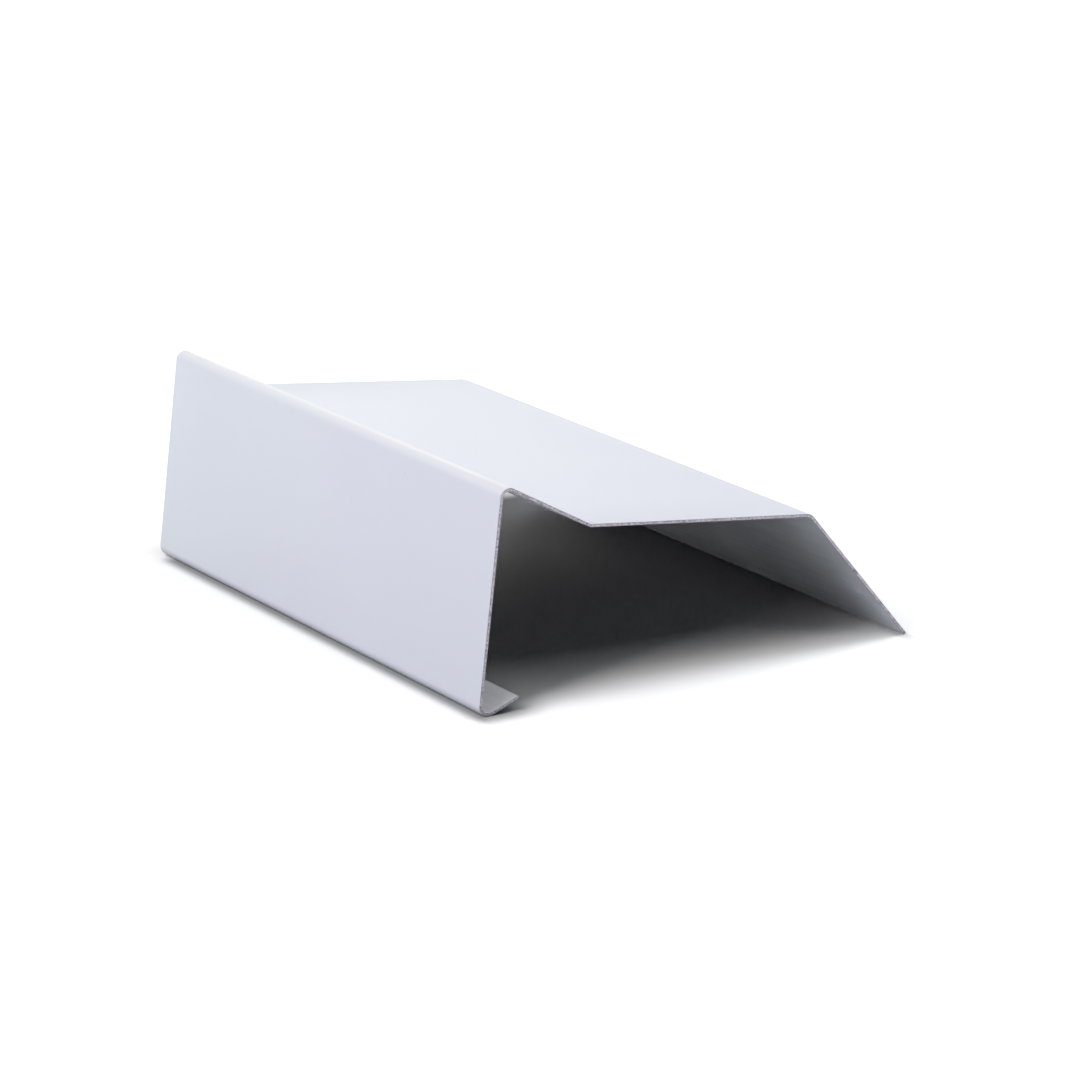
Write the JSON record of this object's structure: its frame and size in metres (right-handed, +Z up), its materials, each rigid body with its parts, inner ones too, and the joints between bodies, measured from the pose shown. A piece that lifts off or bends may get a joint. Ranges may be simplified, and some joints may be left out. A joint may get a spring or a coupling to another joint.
{
  "type": "roof edge trim",
  "caption": "Folded coated sheet roof edge trim: upright fascia with a turned-in drip lip, raised kerb, flat roof flange and sloping rear skirt, in a short straight length.",
  "frame": {"origin": "middle of the trim's footprint on the floor, at the height of its lowest edges, as it lies unheld", "axes": "+X across the trim from the fascia to the rear skirt, +Y along the trim, +Z up"},
  "size_m": [0.2258, 0.292, 0.0993],
  "materials": {
    "coated_sheet": "satin light grey-white coating on the outer face, bare mill finish on the inner face and on the cut ends"
  },
  "bodies": {
    "root": {"trim_sheet": "coated_sheet"}
  },
  "joints": []
}
